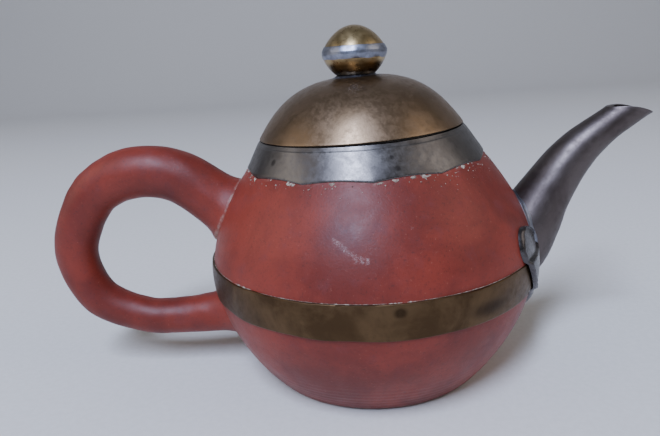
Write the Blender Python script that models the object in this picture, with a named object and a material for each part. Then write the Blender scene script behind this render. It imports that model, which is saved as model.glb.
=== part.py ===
"""Clay teapot with metal mounts, as an assembly of separate pieces.

Millimetre sizes are written with MM. The base stands on z = 0, the pot's axis is Z,
the spout points along +X and the handle along -X.
"""
import math

import bmesh
import bpy
import numpy as np
from mathutils import Matrix, Vector

MM = 0.001
GAP = 0.3 * MM                     # air left between pieces that touch

# Clay pot
BELLY_RADIUS = 50.4 * MM
BELLY_HEIGHT = 36.0 * MM           # where the pot is widest
BASE_RADIUS = 34.4 * MM
BASE_ROUNDING = 1.2 * MM
WALL = 3.0 * MM
FLOOR = 4.0 * MM
SHOULDER_HEIGHT = 67.3 * MM        # where the collar's points end
SHOULDER_RADIUS = 36.6 * MM
SHOULDER_POWER = 1.85              # how late the shoulder turns in
TURNS = 60                         # faces around the pot

# Mouth: a round metal rim on the collar, leaning a little towards the handle
COLLAR_HEIGHT = 9.2 * MM
COLLAR_TAPER = 5.3 * MM
MOUTH_HEIGHT = SHOULDER_HEIGHT + COLLAR_HEIGHT
MOUTH_RADIUS = SHOULDER_RADIUS - COLLAR_TAPER
MOUTH_TILT = math.radians(2.2)
MOUTH_SHIFT = -1.6 * MM

# Collar on the shoulder
COLLAR_EDGE_TILT = math.radians(1.4)
COLLAR_SHEET = 1.1 * MM
COLLAR_PROUD = 0.4 * MM
COLLAR_POINTS = 12
POINT_DROP = 0.7 * MM
BED_THICKNESS = 0.5 * MM
NECK_SHARE = 0.72                  # how far up the collar the clay neck reaches
BED_START = 0.05
SEAT_WIDTH = 4.3 * MM              # from the rim in to the way through
SEAT_THICKNESS = 1.2 * MM
SEAT_RADIUS = MOUTH_RADIUS - SEAT_WIDTH

# Heights on the wall are shares of the shoulder's height, so they move with it.
# Belt
BELT_BOTTOM = 0.4473 * SHOULDER_HEIGHT
BELT_WIDTH = 9.9 * MM
BELT_SHEET = 0.6 * MM

# Lid, measured up from its rim in its own frame
LID_SETBACK = 0.1 * MM
LID_RADIUS = MOUTH_RADIUS - LID_SETBACK
LID_HEIGHT = 16.0 * MM
LID_SHEET = 1.0 * MM
LID_REST_GAP = 0.6 * MM
LID_POWER = 3.0                    # 2 would be a plain bowl, 3 has a flatter crown
LID_TURNS = 40
FLANGE_CLEARANCE = 0.6 * MM
FLANGE_RADIUS = SEAT_RADIUS - FLANGE_CLEARANCE
FLANGE_DEPTH = 7.0 * MM
FLANGE_SHEET = 1.0 * MM

# Knob
KNOB_RADIUS = 9.7 * MM
KNOB_CROWN = 7.8 * MM              # from the sharp seam up to the top
CROWN_POWER = 1.3                  # 2 would be an oval; less is more like a cone
KNOB_BOWL = 5.7 * MM               # from the sharp seam down to the foot
BOWL_POWER = 1.6
KNOB_FLOOR_RADIUS = 5.8 * MM
KNOB_SHEET = 0.9 * MM
KNOB_TURNS = 24
SEAM_ABOVE = 1.8 * MM
SEAM_BELOW = 1.8 * MM
SEAM_WIDTH = 1.9 * MM
FOOT_RADIUS = 6.2 * MM
FOOT_HEIGHT = 0.6 * MM
STUD_RADIUS = 2.0 * MM
STUD_HEAD_RADIUS = 4.0 * MM
STUD_HEAD_HEIGHT = 1.2 * MM
PEEN_RADIUS = 3.2 * MM
PEEN_HEIGHT = 1.0 * MM
WASHER_RADIUS = 5.5 * MM
WASHER_THICKNESS = 0.8 * MM

# Handle: a ring of clay, thick above and thin below. Its middle line is given as
# (mm out from the belly, share of the shoulder's height, tube radius in mm).
HANDLE_LINE = (
    (-14.0, 0.6612, 8.8),
    (-4.0, 0.8172, 8.6),
    (9.8, 0.9658, 8.3),
    (24.6, 0.9896, 8.1),
    (38.0, 0.8841, 7.3),
    (46.2, 0.6241, 6.6),
    (41.0, 0.3863, 6.2),
    (27.0, 0.2734, 5.9),
    (13.0, 0.2585, 6.1),
    (1.0, 0.2689, 6.6),
    (-10.0, 0.2793, 7.4),
)
HANDLE_SIDES = 14
HANDLE_STEPS = 3

# Spout: a curved horn, from inside the wall out to the lip, given like the handle
SPOUT_LINE = (
    (-14.0, 0.4012, 9.2),
    (-8.8, 0.4636, 10.7),
    (-4.0, 0.5468, 11.2),
    (1.0, 0.6686, 9.9),
    (5.3, 0.7845, 8.2),
    (10.5, 0.9019, 7.1),
    (14.7, 0.9762, 6.4),
    (18.7, 1.0312, 5.7),
    (25.0, 1.1040, 4.9),
    (35.4, 1.2006, 4.3),
)
ROOT_POINTS = 6                    # points of the line that its root takes up
SPOUT_SHEET = 1.0 * MM
SPOUT_SIDES = 20
SPOUT_STEPS = 2
LIP_HEIGHT = 1.1768 * SHOULDER_HEIGHT   # of the opening's back edge
LIP_BACK = 22.6 * MM               # out from the belly
LIP_SLOPE = math.radians(11.0)
WALL_HOLE_RADIUS = 6.0 * MM
WALL_HOLE_HEIGHT = 0.6092 * SHOULDER_HEIGHT
ROOT_FLANGE_WIDTH = 1.8 * MM
ROOT_FLANGE_SHEET = 1.0 * MM

# Escutcheon under the spout, as shares of its half width and height
ESCUTCHEON_HALF_WIDTH = 29.5 * MM
ESCUTCHEON_TIP = 0.2080 * SHOULDER_HEIGHT
ESCUTCHEON_HEIGHT = 0.5349 * SHOULDER_HEIGHT
ESCUTCHEON_SHEET = 0.8 * MM
ESCUTCHEON_SIDE = (
    (0.0, 0.0),
    (0.42, 0.20),
    (0.78, 0.47),
    (0.96, 0.68),
    (1.0, 0.85),
    (0.88, 0.98),
    (0.68, 0.96),
    (0.40, 0.82),
    (0.0, 0.67),
)
OUTLINE_STEPS = 3

COLOURS = {
    "clay": ((0.22, 0.08, 0.07), 0.75, 0.0),
    "brass": ((0.28, 0.19, 0.09), 0.42, 1.0),
    "pewter": ((0.19, 0.18, 0.19), 0.38, 1.0),
    "solder": ((0.33, 0.33, 0.37), 0.35, 1.0),
    "cement": ((0.55, 0.50, 0.44), 0.9, 0.0),
}


# --- the pot's shape -------------------------------------------------------------

def body_radius(height):
    """Outer radius of the clay: a parabola below the belly, a power curve above."""
    if height < BELLY_HEIGHT:
        share = 1.0 - height / BELLY_HEIGHT
        return BELLY_RADIUS - (BELLY_RADIUS - BASE_RADIUS) * share ** 2
    share = (height - BELLY_HEIGHT) / (SHOULDER_HEIGHT - BELLY_HEIGHT)
    return BELLY_RADIUS - (BELLY_RADIUS - SHOULDER_RADIUS) * share ** SHOULDER_POWER


def body_slope(height):
    """Change of radius with height, for offsets square to the wall."""
    step = 0.1 * MM
    return (body_radius(height + step) - body_radius(height - step)) / (2 * step)


def shell_radius(height, offset):
    """Radius of a surface that lies a given distance outside the clay."""
    return body_radius(height) + offset * math.hypot(1.0, body_slope(height))


def mouth_matrix():
    """Frame of the mouth: its middle, with Z along the lid's way out."""
    place = Matrix.Translation((MOUTH_SHIFT, 0.0, MOUTH_HEIGHT))
    return place @ Matrix.Rotation(-MOUTH_TILT, 4, "Y")


def collar_edge(angle):
    """Height of the collar's lower edge: tilted, with shallow arches between points."""
    arch = POINT_DROP * abs(math.sin(COLLAR_POINTS * angle / 2))
    lean = SHOULDER_RADIUS * math.cos(angle) * math.tan(COLLAR_EDGE_TILT)
    return SHOULDER_HEIGHT + lean + arch


def collar_slant():
    """Length of the collar's slope over its height, for depths square to the sheet."""
    return math.hypot(COLLAR_TAPER, COLLAR_HEIGHT) / COLLAR_HEIGHT


def collar_ring(share, depth, lower=0.0):
    """Ring of points on the collar, from its edge (share 0) to the rim (share 1)."""
    rim = mouth_matrix()
    points = []
    for angle in np.linspace(0.0, 2 * math.pi, TURNS, endpoint=False):
        height = collar_edge(angle) - lower
        radius = body_radius(height) + COLLAR_PROUD
        foot = np.array((radius * math.cos(angle), radius * math.sin(angle), height))
        top = np.array(rim @ Matrix.Translation((
            MOUTH_RADIUS * math.cos(angle), MOUTH_RADIUS * math.sin(angle), 0.0)).translation)
        place = foot + share * (top - foot)
        inward = depth * collar_slant()
        place[0] -= inward * math.cos(angle)
        place[1] -= inward * math.sin(angle)
        points.append(place)
    return np.array(points)


def neck_bore():
    """Ring inside the clay neck, in line with the mouth and as wide as the way through."""
    rim = mouth_matrix() @ Matrix.Translation((0.0, 0.0, (NECK_SHARE - 1.0) * COLLAR_HEIGHT))
    angles = np.linspace(0.0, 2 * math.pi, TURNS, endpoint=False)
    return np.array([
        rim @ Vector((SEAT_RADIUS * math.cos(angle), SEAT_RADIUS * math.sin(angle), 0.0))
        for angle in angles])


def round_ring(radius, height):
    """Level ring about the pot's axis, one point for each turn step."""
    angles = np.linspace(0.0, 2 * math.pi, TURNS, endpoint=False)
    level = np.full_like(angles, height)
    return np.stack((radius * np.cos(angles), radius * np.sin(angles), level), axis=-1)


# --- small tools -----------------------------------------------------------------

def material(name):
    """Principled material with the finish's colour, roughness and metallic value."""
    found = bpy.data.materials.get(name)
    if found:
        return found
    colour, roughness, metallic = COLOURS[name]
    made = bpy.data.materials.new(name)
    made.use_nodes = True
    shader = made.node_tree.nodes["Principled BSDF"]
    shader.inputs["Base Color"].default_value = (*colour, 1.0)
    shader.inputs["Roughness"].default_value = roughness
    shader.inputs["Metallic"].default_value = metallic
    return made


def add_object(name, mesh, finish):
    """Put a mesh in the scene with its material, shaded smooth up to 35 degrees."""
    mesh.shade_smooth()
    mesh.set_sharp_from_angle(angle=math.radians(35))
    mesh.materials.append(material(finish))
    piece = bpy.data.objects.new(name, mesh)
    bpy.context.collection.objects.link(piece)
    return piece


def finish_mesh(name, shape):
    """Turn a bmesh into a mesh with its faces pointing out."""
    bmesh.ops.remove_doubles(shape, verts=shape.verts, dist=1e-6)
    bmesh.ops.recalc_face_normals(shape, faces=shape.faces)
    mesh = bpy.data.meshes.new(name)
    shape.to_mesh(mesh)
    shape.free()
    return mesh


def turned(name, profile, finish, steps):
    """Spin a profile of (radius, height) points about Z; a closed loop unless it ends on Z."""
    shape = bmesh.new()
    verts = [shape.verts.new((radius, 0.0, height)) for radius, height in profile]
    edges = [shape.edges.new(pair) for pair in zip(verts, verts[1:])]
    if profile[0][0] > 0.0 or profile[-1][0] > 0.0:
        edges.append(shape.edges.new((verts[-1], verts[0])))
    bmesh.ops.spin(shape, geom=verts + edges, axis=(0, 0, 1), cent=(0, 0, 0),
                   angle=2 * math.pi, steps=steps, use_merge=True)
    return add_object(name, finish_mesh(name, shape), finish)


def skinned(name, rings, finish, closed):
    """Skin a row of rings; closed joins the last ring to the first, else both are capped."""
    shape = bmesh.new()
    rows = [[shape.verts.new(point) for point in ring] for ring in rings]
    pairs = list(zip(rows, rows[1:]))
    if closed:
        pairs.append((rows[-1], rows[0]))
    for low, high in pairs:
        for here in range(len(low)):
            after = (here + 1) % len(low)
            shape.faces.new((low[here], low[after], high[after], high[here]))
    if not closed:
        shape.faces.new(rows[0])
        shape.faces.new(rows[-1])
    return add_object(name, finish_mesh(name, shape), finish)


def smooth_line(points, steps):
    """Catmull-Rom curve through a row of points, with a given number of steps per span."""
    points = np.array(points, dtype=float)
    padded = np.vstack((2 * points[0] - points[1], points, 2 * points[-1] - points[-2]))
    rows = []
    for here in range(1, len(padded) - 2):
        before, start, end, after = padded[here - 1:here + 3]
        for share in np.arange(steps) / steps:
            rows.append(start + 0.5 * share * (
                end - before
                + share * (2 * before - 5 * start + 4 * end - after
                           + share * (3 * (start - end) + after - before))))
    return np.vstack((rows, points[-1]))


def tube_rings(line, steps, sides, grow, side=1.0):
    """Round sections square to a line in the XZ plane, out from the belly on one side.

    They start half a side off the plane, so their edges don't run along the pot's own.
    """
    rows = smooth_line(line, steps) * (MM, SHOULDER_HEIGHT, MM)
    places = np.stack((side * (BELLY_RADIUS + rows[:, 0]), rows[:, 1]), axis=-1)
    heading = np.gradient(places, axis=0)
    heading /= np.linalg.norm(heading, axis=1)[:, None]
    angles = np.linspace(0.0, 2 * math.pi, sides, endpoint=False) + math.pi / sides
    rings = []
    for place, ahead, radius in zip(places, heading, rows[:, 2] + grow):
        across = radius * np.cos(angles)
        rings.append(np.stack((
            place[0] - ahead[1] * across,
            radius * np.sin(angles),
            place[1] + ahead[0] * across), axis=-1))
    return rings


def use_boolean(piece, operation, tool):
    """Cut with, or keep what is common with, a hidden tool."""
    step = piece.modifiers.new(operation.title(), "BOOLEAN")
    step.operation = operation
    step.solver = "EXACT"
    step.object = tool
    tool.hide_render = True
    tool.display_type = "WIRE"
    return step


def envelope(name, offset):
    """Solid that fills the pot and a given skin outside it, used to trim what sits on it."""
    heights = np.linspace(0.0, MOUTH_HEIGHT, 40)
    wall = [(shell_radius(height, offset), height) for height in heights]
    profile = [(0.0, -GAP), (wall[0][0], -GAP), *wall, (0.0, MOUTH_HEIGHT)]
    return turned(name, profile, "clay", TURNS)


def band(name, bottom, top, inner, outer, finish):
    """Ring that follows the wall between two heights and two offsets."""
    heights = np.linspace(bottom, top, 4)
    outside = [(shell_radius(height, outer), height) for height in heights]
    inside = [(shell_radius(height, inner), height) for height in heights[::-1]]
    return turned(name, outside + inside, finish, TURNS)


# --- the pot ---------------------------------------------------------------------

def make_clay_body():
    """Thrown pot: one skin from the base up to the neck and back down the inside."""
    neck_depth = COLLAR_SHEET + GAP + BED_THICKNESS + GAP
    outside = [round_ring(BASE_RADIUS - BASE_ROUNDING, 0.0)]
    foot = body_radius(BASE_ROUNDING)
    outside.append(round_ring(foot, BASE_ROUNDING))
    heights = np.linspace(6 * MM, SHOULDER_HEIGHT - 6 * MM, 11)
    outside += [round_ring(body_radius(height), height) for height in heights]
    ledge = collar_ring(0.0, 0.0, lower=GAP)
    flat = np.array((1.0, 1.0, 0.0))
    ledge -= flat * ledge * (COLLAR_PROUD / np.linalg.norm(ledge * flat, axis=1))[:, None]
    outside.append(ledge)
    outside += [collar_ring(share, neck_depth) for share in (0.0, 0.36, NECK_SHARE)]
    inside = [neck_bore()]
    inner_heights = np.linspace(SHOULDER_HEIGHT - 4 * MM, FLOOR + 5 * MM, 7)
    inside += [round_ring(shell_radius(height, -WALL), height) for height in inner_heights]
    floor_radius = shell_radius(FLOOR, -WALL)
    inside.append(round_ring(floor_radius - 3 * MM, FLOOR))
    body = skinned("clay_body", outside + inside, "clay", closed=False)
    start = BELLY_RADIUS - 3 * WALL
    bore = bmesh.new()
    bmesh.ops.create_cone(
        bore, cap_ends=True, segments=24, radius1=WALL_HOLE_RADIUS, radius2=WALL_HOLE_RADIUS,
        depth=6 * WALL, matrix=Matrix.Rotation(math.pi / 2, 4, "Y"))
    tool = add_object("wall_hole_tool", finish_mesh("wall_hole_tool", bore), "clay")
    tool.location = (start + 3 * WALL, 0.0, WALL_HOLE_HEIGHT)
    use_boolean(body, "DIFFERENCE", tool)
    return body


def make_clay_handle(trim):
    """Ring handle of tapering round section, its ends shaped to the wall."""
    rings = tube_rings(HANDLE_LINE, HANDLE_STEPS, HANDLE_SIDES, 0.0, side=-1.0)
    handle = skinned("clay_handle", rings, "clay", closed=False)
    use_boolean(handle, "DIFFERENCE", trim)
    return handle


def make_belt(keep_out):
    """Flat brass strip round the belly, its two ends tucked under the escutcheon."""
    belt = band("brass_belt", BELT_BOTTOM, BELT_BOTTOM + BELT_WIDTH,
                GAP, GAP + BELT_SHEET, "brass")
    use_boolean(belt, "DIFFERENCE", keep_out)
    return belt


def make_collar():
    """Sheet cone on the shoulder, with shallow points on its lower edge."""
    shares = (0.0, 0.5, 1.0)
    rings = [collar_ring(share, 0.0) for share in shares]
    rings += [collar_ring(share, COLLAR_SHEET) for share in shares[::-1]]
    return skinned("mouth_collar", rings, "pewter", closed=True)


def make_bedding():
    """Cement bed between the collar and the clay neck."""
    outer = COLLAR_SHEET + GAP
    shares = (BED_START, NECK_SHARE)
    rings = [collar_ring(share, outer) for share in shares]
    rings += [collar_ring(share, outer + BED_THICKNESS) for share in shares[::-1]]
    return skinned("collar_bedding", rings, "cement", closed=True)


def make_seat_ring(mouth):
    """Flat ring soldered inside the collar's rim; the lid's flange drops through it."""
    outer = MOUTH_RADIUS - COLLAR_SHEET * collar_slant() - GAP
    profile = [(outer, -SEAT_THICKNESS), (outer, 0.0), (SEAT_RADIUS, 0.0),
               (SEAT_RADIUS, -SEAT_THICKNESS)]
    ring = turned("mouth_seat_ring", profile, "pewter", LID_TURNS)
    ring.parent = mouth
    return ring


# --- the spout and its plates ----------------------------------------------------

def make_spout(trim):
    """Hollow horn with an open foot and a level-cut lip."""
    outside = tube_rings(SPOUT_LINE, SPOUT_STEPS, SPOUT_SIDES, 0.0)
    inside = tube_rings(SPOUT_LINE, SPOUT_STEPS, SPOUT_SIDES, -SPOUT_SHEET)
    spout = skinned("spout", outside + inside[::-1], "pewter", closed=True)
    use_boolean(spout, "DIFFERENCE", trim)
    size = 30 * MM
    block = bmesh.new()
    bmesh.ops.create_cube(block, size=2 * size, matrix=Matrix.Translation((0, 0, size)))
    knife = add_object("lip_tool", finish_mesh("lip_tool", block), "pewter")
    knife.location = (BELLY_RADIUS + LIP_BACK, 0.0, LIP_HEIGHT)
    knife.rotation_euler = (0.0, LIP_SLOPE, 0.0)
    use_boolean(spout, "DIFFERENCE", knife)
    return spout


def make_root_flange(trim, core):
    """Thin collar soldered round the spout's foot, shaped to the wall."""
    root = SPOUT_LINE[:ROOT_POINTS]
    rings = tube_rings(root, SPOUT_STEPS, SPOUT_SIDES, ROOT_FLANGE_WIDTH)
    flange = skinned("spout_flange", rings, "solder", closed=False)
    layer = envelope("flange_layer_tool", GAP + ROOT_FLANGE_SHEET)
    use_boolean(flange, "INTERSECT", layer)
    use_boolean(flange, "DIFFERENCE", trim)
    use_boolean(flange, "DIFFERENCE", core)
    return flange


def make_escutcheon(trim, keep_out):
    """Plate under the spout with two spread lobes, lapping over the belt and its ends."""
    half = smooth_line(ESCUTCHEON_SIDE, OUTLINE_STEPS)
    half = half * (ESCUTCHEON_HALF_WIDTH, ESCUTCHEON_HEIGHT) + (0.0, ESCUTCHEON_TIP)
    outline = [(y, z) for y, z in half] + [(-y, z) for y, z in half[-2:0:-1]]
    near = BELLY_RADIUS / 2
    rings = [[(x, y, z) for y, z in outline] for x in (near, BELLY_RADIUS * 1.2)]
    plate = skinned("heart_escutcheon", rings, "pewter", closed=False)
    over_belt = GAP + BELT_SHEET + GAP
    layer = envelope("escutcheon_layer_tool", over_belt + ESCUTCHEON_SHEET)
    use_boolean(plate, "INTERSECT", layer)
    use_boolean(plate, "DIFFERENCE", trim)
    step = band("belt_clearance_tool", BELT_BOTTOM - GAP, BELT_BOTTOM + BELT_WIDTH + GAP,
                -GAP, over_belt, "pewter")
    use_boolean(plate, "DIFFERENCE", step)
    use_boolean(plate, "DIFFERENCE", keep_out)
    return plate


# --- the lid and its knob --------------------------------------------------------

def lid_surface(radius, depth):
    """Height of the lid over its rim: a bowl whose crown is flattened by the power."""
    reach = LID_RADIUS - depth
    return (LID_HEIGHT - depth) * (1.0 - (radius / reach) ** LID_POWER)


def make_lid_dome(lid):
    """Raised sheet dome with a hole for the knob's stud."""
    hole = STUD_RADIUS + GAP
    shares = np.linspace(0.0, 1.0, 8)
    outer = [hole + (LID_RADIUS - hole) * share for share in shares]
    inner_edge = LID_RADIUS - LID_SHEET
    inner = [hole + (inner_edge - hole) * share for share in shares[::-1]]
    profile = [(radius, lid_surface(radius, 0.0)) for radius in outer]
    profile += [(radius, lid_surface(radius, LID_SHEET)) for radius in inner]
    dome = turned("lid_dome", profile, "brass", LID_TURNS)
    dome.parent = lid
    return dome


def make_lid_flange(lid):
    """Short tube soldered inside the dome, which finds the mouth."""
    top = lid_surface(FLANGE_RADIUS, LID_SHEET) - 2 * GAP
    inner = FLANGE_RADIUS - FLANGE_SHEET
    profile = [(FLANGE_RADIUS, -FLANGE_DEPTH), (FLANGE_RADIUS, top),
               (inner, top), (inner, -FLANGE_DEPTH)]
    flange = turned("lid_flange", profile, "brass", LID_TURNS)
    flange.parent = lid
    return flange


def knob_seam_height():
    """Height of the knob's sharp seam over the lid's rim."""
    return LID_HEIGHT + GAP + FOOT_HEIGHT + GAP + KNOB_BOWL


def crown_radius(height):
    """Knob's radius over its seam: the root of one less a power of the height's share."""
    return KNOB_RADIUS * math.sqrt(1.0 - (height / KNOB_CROWN) ** CROWN_POWER)


def bowl_radius(depth):
    """Knob's radius under its seam: the same kind of curve, cut off flat by the floor."""
    floor = 1.0 - (KNOB_FLOOR_RADIUS / KNOB_RADIUS) ** 2
    return KNOB_RADIUS * math.sqrt(1.0 - floor * (depth / KNOB_BOWL) ** BOWL_POWER)


def make_knob_foot(lid):
    """Small ring between the dome's crown and the knob."""
    low = LID_HEIGHT + GAP
    hole = STUD_RADIUS + GAP
    profile = [(hole, low), (FOOT_RADIUS, low), (KNOB_FLOOR_RADIUS, low + FOOT_HEIGHT),
               (hole, low + FOOT_HEIGHT)]
    foot = turned("knob_foot", profile, "solder", KNOB_TURNS)
    foot.parent = lid
    return foot


def make_knob_bowl(lid):
    """Lower half of the knob: a small bowl with a flat, pierced floor."""
    seam = knob_seam_height()
    low = seam - KNOB_BOWL
    hole = STUD_RADIUS + GAP
    depths = np.linspace(KNOB_BOWL, SEAM_BELOW + GAP, 6)
    outer = [(bowl_radius(depth), seam - depth) for depth in depths]
    inner = [(radius - KNOB_SHEET, max(height, low + KNOB_SHEET))
             for radius, height in outer[::-1]]
    profile = [(hole, low), *outer, *inner[:-1], (hole, low + KNOB_SHEET)]
    bowl = turned("knob_bowl", profile, "brass", KNOB_TURNS)
    bowl.parent = lid
    return bowl


def make_knob_seam(lid):
    """Sharp-edged solder ring that joins the knob's two halves."""
    seam = knob_seam_height()
    inner = KNOB_RADIUS - SEAM_WIDTH
    profile = [(inner, seam - SEAM_BELOW), (bowl_radius(SEAM_BELOW), seam - SEAM_BELOW),
               (KNOB_RADIUS, seam), (crown_radius(SEAM_ABOVE), seam + SEAM_ABOVE),
               (inner, seam + SEAM_ABOVE)]
    ring = turned("knob_seam_ring", profile, "solder", KNOB_TURNS)
    ring.parent = lid
    return ring


def make_knob_crown(lid):
    """Upper half of the knob: a thin dome, open below."""
    seam = knob_seam_height()
    low = SEAM_ABOVE + GAP
    rise = KNOB_CROWN - low
    shares = np.sin(np.linspace(0.0, math.pi / 2, 7))
    outer = [(crown_radius(low + rise * share), seam + low + rise * share) for share in shares]
    within = 1.0 - KNOB_SHEET / rise
    inner = [(radius * (1.0 - KNOB_SHEET / outer[0][0]), seam + low + (height - seam - low) * within)
             for radius, height in outer[::-1]]
    crown = turned("knob_crown", outer + inner, "brass", KNOB_TURNS)
    crown.parent = lid
    return crown


def make_stud(lid):
    """Rivet from inside the knob down through the lid, peened over its washer."""
    floor_top = knob_seam_height() - KNOB_BOWL + KNOB_SHEET
    head = floor_top + GAP
    washer_low = lid_surface(WASHER_RADIUS, LID_SHEET) - GAP - WASHER_THICKNESS
    peen_top = washer_low - GAP
    profile = [(0.0, peen_top - PEEN_HEIGHT), (PEEN_RADIUS, peen_top - 0.7 * PEEN_HEIGHT),
               (PEEN_RADIUS, peen_top), (STUD_RADIUS, peen_top), (STUD_RADIUS, head),
               (STUD_HEAD_RADIUS, head), (STUD_HEAD_RADIUS, head + 0.6 * STUD_HEAD_HEIGHT),
               (0.0, head + STUD_HEAD_HEIGHT)]
    stud = turned("knob_stud", profile, "brass", KNOB_TURNS)
    stud.parent = lid
    return stud


def make_washer(lid):
    """Washer under the lid that the stud is peened over."""
    high = lid_surface(WASHER_RADIUS, LID_SHEET) - GAP
    low = high - WASHER_THICKNESS
    hole = STUD_RADIUS + GAP
    profile = [(hole, low), (WASHER_RADIUS, low), (WASHER_RADIUS, high), (hole, high)]
    washer = turned("stud_washer", profile, "brass", KNOB_TURNS)
    washer.parent = lid
    return washer


def main():
    for old in list(bpy.data.objects):
        bpy.data.objects.remove(old)

    mouth = bpy.data.objects.new("mouth_frame", None)
    bpy.context.collection.objects.link(mouth)
    mouth.matrix_world = mouth_matrix()
    lid = bpy.data.objects.new("lid_frame", None)
    bpy.context.collection.objects.link(lid)
    lid.parent = mouth
    lid.location = (0.0, 0.0, LID_REST_GAP)

    on_clay = envelope("clay_tool", GAP)
    on_flange = envelope("flange_tool", 2 * GAP + ROOT_FLANGE_SHEET)
    root = SPOUT_LINE[:ROOT_POINTS + 1]
    core = skinned("passage_tool", tube_rings(
        root, SPOUT_STEPS, SPOUT_SIDES, -SPOUT_SHEET), "pewter", closed=False)
    keep_out = skinned("root_tool", tube_rings(
        root, SPOUT_STEPS, SPOUT_SIDES, ROOT_FLANGE_WIDTH + GAP), "pewter", closed=False)

    make_clay_body()
    make_clay_handle(on_clay)
    make_belt(keep_out)
    make_collar()
    make_bedding()
    make_seat_ring(mouth)
    make_spout(on_flange)
    make_root_flange(on_clay, core)
    make_escutcheon(on_clay, keep_out)
    make_lid_dome(lid)
    make_lid_flange(lid)
    make_knob_foot(lid)
    make_knob_bowl(lid)
    make_knob_seam(lid)
    make_knob_crown(lid)
    make_stud(lid)
    make_washer(lid)


main()
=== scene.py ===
# %% [markdown]
# # A red clay teapot, mended and mounted in metal
# The pot is thrown in red stoneware. A brass lid, a pewter collar and a pewter spout were
# added to it by a metalworker, with a brass strip round the belly and a heart-shaped plate
# under the spout. The CAD model gives every piece its size and place; this script makes the
# fine surface of each piece over it, and the finishes.

# %% Load the frame
import math

import bpy
import numpy as np
from mathutils import Matrix, Vector


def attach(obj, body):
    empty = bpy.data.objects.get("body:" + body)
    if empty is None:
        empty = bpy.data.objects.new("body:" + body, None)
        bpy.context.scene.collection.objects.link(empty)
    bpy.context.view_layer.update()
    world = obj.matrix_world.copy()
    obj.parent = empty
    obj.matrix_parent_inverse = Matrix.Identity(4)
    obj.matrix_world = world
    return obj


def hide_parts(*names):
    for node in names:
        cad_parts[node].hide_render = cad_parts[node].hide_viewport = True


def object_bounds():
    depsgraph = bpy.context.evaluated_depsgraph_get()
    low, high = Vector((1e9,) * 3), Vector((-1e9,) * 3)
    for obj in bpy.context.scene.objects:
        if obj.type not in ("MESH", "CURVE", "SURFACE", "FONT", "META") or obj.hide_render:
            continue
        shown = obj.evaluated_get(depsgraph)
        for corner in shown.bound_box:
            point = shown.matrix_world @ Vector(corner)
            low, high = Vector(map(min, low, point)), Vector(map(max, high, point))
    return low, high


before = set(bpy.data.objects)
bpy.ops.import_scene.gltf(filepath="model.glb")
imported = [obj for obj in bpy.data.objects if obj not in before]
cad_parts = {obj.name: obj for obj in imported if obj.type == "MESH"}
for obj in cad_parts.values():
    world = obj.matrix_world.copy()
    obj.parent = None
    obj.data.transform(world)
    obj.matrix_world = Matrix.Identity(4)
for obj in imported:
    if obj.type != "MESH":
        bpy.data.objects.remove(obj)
cad_low, cad_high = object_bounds()
print("CAD box", [round(x * 1000, 1) for x in (*cad_low, *cad_high)], "mm")

# %% [markdown]
# ## Sizes
# These are the sizes the pot was drawn with, in metres.

# %% Sizes
MM = 0.001
BELLY_RADIUS, BELLY_HEIGHT = 50.4 * MM, 36.0 * MM
BASE_RADIUS, BASE_ROUNDING = 34.4 * MM, 1.2 * MM
WALL, FLOOR = 3.0 * MM, 4.0 * MM
SHOULDER_HEIGHT, SHOULDER_RADIUS, SHOULDER_POWER = 67.3 * MM, 36.6 * MM, 1.85
COLLAR_HEIGHT, COLLAR_TAPER, COLLAR_SHEET = 9.2 * MM, 5.3 * MM, 1.1 * MM
COLLAR_POINTS, POINT_DROP, COLLAR_PROUD = 12, 0.7 * MM, 0.4 * MM
MOUTH_RADIUS = SHOULDER_RADIUS - COLLAR_TAPER
SEAT_RADIUS = MOUTH_RADIUS - 4.3 * MM
BELT_BOTTOM, BELT_WIDTH, BELT_OUT = 30.1 * MM, 9.9 * MM, 0.6 * MM
LID_RADIUS, LID_HEIGHT, LID_SHEET = 31.2 * MM, 16.0 * MM, 1.0 * MM
FLANGE_RADIUS, FLANGE_DEPTH, FLANGE_SHEET = SEAT_RADIUS - 0.6 * MM, 7.0 * MM, 1.0 * MM
KNOB_RADIUS, KNOB_CROWN, KNOB_BOWL, KNOB_FLOOR = 9.7 * MM, 7.8 * MM, 5.7 * MM, 5.8 * MM
STUD_RADIUS, STUD_HOLE, STUD_HEAD, PEEN = 2.0 * MM, 2.3 * MM, 4.0 * MM, 3.2 * MM
WASHER_RADIUS, WASHER_SHEET = 5.5 * MM, 0.8 * MM
FOOT_HEIGHT, SEAT_SHEET = 0.6 * MM, 1.2 * MM
AIR = 0.3 * MM

MOUTH = (Matrix.Translation((-1.6 * MM, 0.0, SHOULDER_HEIGHT + COLLAR_HEIGHT))
         @ Matrix.Rotation(math.radians(-2.2), 4, "Y"))
LID = MOUTH @ Matrix.Translation((0.0, 0.0, 0.2 * MM))

# %% [markdown]
# ## Camera
# The camera stands a little above the pot and close to it, so the near side of the belly
# looks large. It is turned by hand-held angles: down, a small roll and a small yaw.

# %% Camera
def make_camera(place, down, roll, yaw, lens):
    """Camera whose axes come from three turns: look down, roll about the view, turn about Z."""
    forward = Vector((math.sin(yaw) * math.cos(down), math.cos(yaw) * math.cos(down),
                      -math.sin(down)))
    level = Vector((math.cos(yaw), -math.sin(yaw), 0.0))
    upright = level.cross(forward)
    right = math.cos(roll) * level + math.sin(roll) * upright
    up = math.cos(roll) * upright - math.sin(roll) * level
    data = bpy.data.cameras.new("camera")
    data.lens = lens
    data.sensor_width = 36.0
    camera = bpy.data.objects.new("camera", data)
    bpy.context.scene.collection.objects.link(camera)
    turn = Matrix((right, up, -forward)).transposed().to_4x4()
    camera.matrix_world = Matrix.Translation(place) @ turn
    bpy.context.scene.camera = camera


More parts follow.
